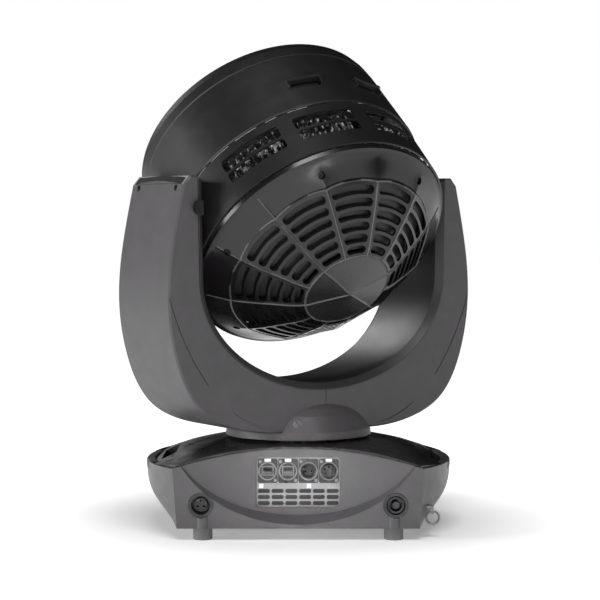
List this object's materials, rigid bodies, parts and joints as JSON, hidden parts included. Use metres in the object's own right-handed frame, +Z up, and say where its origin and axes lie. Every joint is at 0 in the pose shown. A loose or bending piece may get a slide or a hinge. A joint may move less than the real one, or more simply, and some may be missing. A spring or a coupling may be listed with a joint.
{
  "type": "moving head light",
  "caption": "Motorised wash light: round head tilting in a U-shaped yoke that pans on a box base with connectors, vents, handles and rubber feet.",
  "frame": {"origin": "on the pan axis, on the underside of the base in the middle of the clamp sockets", "axes": "+Z up along the pan axis, -Y towards the connector face of the base, +X to the right of that face"},
  "size_m": [0.4652, 0.4014, 0.6375],
  "materials": {
    "yoke_plastic": "dark grey fine-textured moulded cover",
    "base_plastic": "grey fine-textured moulded cover",
    "cover_plastic": "dark grey satin moulded cover",
    "barrel_plastic": "near-black satin",
    "band_plastic": "near-black satin",
    "cap_plastic": "near-black, half gloss",
    "frame_paint": "dark grey powder coat",
    "plate_metal": "grey brushed panel",
    "bottom_metal": "dark grey powder coat",
    "connector_shell": "black moulded connector shell",
    "tab_plastic": "light moulded tab",
    "power_plastic": "black moulded",
    "screw_steel": "dark zinc",
    "steel": "bright steel",
    "aluminium_part": "machined",
    "fin_aluminium": "bright fin stock",
    "foot_rubber": "grey rubber",
    "belt_rubber": "black",
    "grip_rubber": "black textured",
    "button_rubber": "dark grey",
    "display_glass": "dark display window",
    "front_clear": "clear flat glass",
    "lens_clear": "clear moulded lenses",
    "led_board": "white solder mask",
    "fan_plastic": "black",
    "knob_plastic": "black"
  },
  "bodies": {
    "base": {"base_shell": "base_plastic", "base_top_cover": "cover_plastic", "base_bottom_plate": "bottom_metal", "rubber_feet": "foot_rubber", "carry_grips": "grip_rubber", "connector_plate": "plate_metal", "data_sockets": "connector_shell", "signal_inlet": "connector_shell", "signal_outlet": "connector_shell", "connector_screws": "steel", "power_inlet": "power_plastic", "power_outlet": "power_plastic", "safety_lug": "steel", "control_panel": "plate_metal", "display_window": "display_glass", "power_supply": "aluminium_part", "pan_bearing_housing": "aluminium_part", "pan_bearings": "steel", "pan_motor": "frame_paint", "pan_belt": "belt_rubber"},
    "safety_ring": {"safety_ring": "steel"},
    "release_tab_a": {"release_tab_a": "tab_plastic"},
    "release_tab_b": {"release_tab_b": "tab_plastic"},
    "release_tab_c": {"release_tab_c": "tab_plastic"},
    "menu_button_up": {"menu_button_up": "button_rubber"},
    "menu_button_down": {"menu_button_down": "button_rubber"},
    "menu_button_enter": {"menu_button_enter": "button_rubber"},
    "pan_motor_pulley": {"pan_motor_pulley": "aluminium_part"},
    "yoke": {"yoke_cover_left": "yoke_plastic", "yoke_cover_right": "yoke_plastic", "yoke_frame": "frame_paint", "hump_cover": "yoke_plastic", "yoke_screws": "screw_steel", "pan_shaft": "aluminium_part", "pan_pulley": "aluminium_part", "tilt_bearings": "steel", "tilt_motor": "frame_paint", "tilt_belt": "belt_rubber"},
    "pan_lock": {"pan_lock_knob": "knob_plastic"},
    "tilt_lock": {"tilt_lock_knob": "knob_plastic"},
    "tilt_motor_pulley": {"tilt_motor_pulley": "aluminium_part"},
    "head": {"front_bezel": "barrel_plastic", "front_glass": "front_clear", "front_barrel": "barrel_plastic", "vent_band": "band_plastic", "rear_cap": "cap_plastic", "cap_screws": "screw_steel", "head_chassis": "aluminium_part", "tilt_shafts": "steel", "tilt_pulley": "aluminium_part", "led_board": "led_board", "heat_sink": "aluminium_part", "cooling_fins": "fin_aluminium", "fan_frame": "fan_plastic", "zoom_motors": "frame_paint"},
    "fan": {"fan_rotor": "fan_plastic"},
    "zoom_carriage": {"lens_holder": "fan_plastic", "lens_array": "lens_clear"},
    "zoom_screw_a": {"zoom_screw_a": "steel"},
    "zoom_screw_b": {"zoom_screw_b": "steel"}
  },
  "joints": [
    {"name": "pan", "type": "hinge", "parent": "base", "child": "yoke", "pos_m": [0, 0, 0.0846], "axis": [0, 0, 1], "range_deg": [-303.1, 236.9]},
    {"name": "tilt", "type": "hinge", "parent": "yoke", "child": "head", "pos_m": [0, 0, 0.4066], "axis": [0.8377, 0.5461, 0], "range_deg": [-86.35, 181.65]},
    {"name": "pan_motor_turn", "type": "hinge", "parent": "base", "child": "pan_motor_pulley", "pos_m": [0.095, 0, 0.0846], "axis": [0, 0, 1], "range_deg": [-1600, 1250]},
    {"name": "tilt_motor_turn", "type": "hinge", "parent": "yoke", "child": "tilt_motor_pulley", "pos_m": [-0.17173, -0.11195, 0.2246], "axis": [0.8377, 0.5461, 0], "range_deg": [-285, 595]},
    {"name": "fan_turn", "type": "hinge", "parent": "head", "child": "fan", "pos_m": [0.0339, -0.05201, 0.35001], "axis": [-0.4036, 0.6191, 0.6737], "continuous": true},
    {"name": "zoom", "type": "slide", "parent": "head", "child": "zoom_carriage", "axis": [-0.4036, 0.6191, 0.6737], "range_m": [0, 0.03]},
    {"name": "zoom_screw_turn_a", "type": "hinge", "parent": "head", "child": "zoom_screw_a", "pos_m": [0.035, -0.05369, 0.55114], "axis": [-0.4036, 0.6191, 0.6737], "range_deg": [-1, 1082]},
    {"name": "zoom_screw_turn_b", "type": "hinge", "parent": "head", "child": "zoom_screw_b", "pos_m": [-0.07536, 0.11561, 0.32943], "axis": [-0.4036, 0.6191, 0.6737], "range_deg": [-1, 1082]},
    {"name": "tilt_lock_turn", "type": "hinge", "parent": "yoke", "child": "tilt_lock", "pos_m": [-0.1222, -0.16322, 0.4066], "axis": [0.5461, -0.8377, 0], "range_deg": [0, 90]},
    {"name": "pan_lock_turn", "type": "hinge", "parent": "yoke", "child": "pan_lock", "pos_m": [-0.0012, -0.08972, 0.1276], "axis": [-0.0089, -0.8658, 0.5003], "range_deg": [0, 90]},
    {"name": "safety_ring_swing", "type": "hinge", "parent": "base", "child": "safety_ring", "pos_m": [0.17175, -0.125, 0.0196], "axis": [1, 0, 0], "range_deg": [-75, 5]},
    {"name": "release_tab_a_press", "type": "slide", "parent": "base", "child": "release_tab_a", "axis": [0, 1, 0], "range_m": [0, 0.0015], "stiffness_N_per_m": 800},
    {"name": "release_tab_b_press", "type": "slide", "parent": "base", "child": "release_tab_b", "axis": [0, 1, 0], "range_m": [0, 0.0015], "stiffness_N_per_m": 800},
    {"name": "release_tab_c_press", "type": "slide", "parent": "base", "child": "release_tab_c", "axis": [0, 1, 0], "range_m": [0, 0.0015], "stiffness_N_per_m": 800},
    {"name": "menu_button_up_press", "type": "slide", "parent": "base", "child": "menu_button_up", "axis": [0, -1, 0], "range_m": [0, 0.0012], "stiffness_N_per_m": 800},
    {"name": "menu_button_down_press", "type": "slide", "parent": "base", "child": "menu_button_down", "axis": [0, -1, 0], "range_m": [0, 0.0012], "stiffness_N_per_m": 800},
    {"name": "menu_button_enter_press", "type": "slide", "parent": "base", "child": "menu_button_enter", "axis": [0, -1, 0], "range_m": [0, 0.0012], "stiffness_N_per_m": 800}
  ],
  "couplings": [
    {"joint": "pan_motor_turn", "follows": "pan", "ratio": 5.2},
    {"joint": "tilt_motor_turn", "follows": "tilt", "ratio": 3.25},
    {"joint": "zoom_screw_turn_a", "follows": "zoom", "rad_per_m": 628.32},
    {"joint": "zoom_screw_turn_b", "follows": "zoom", "rad_per_m": 628.32}
  ]
}
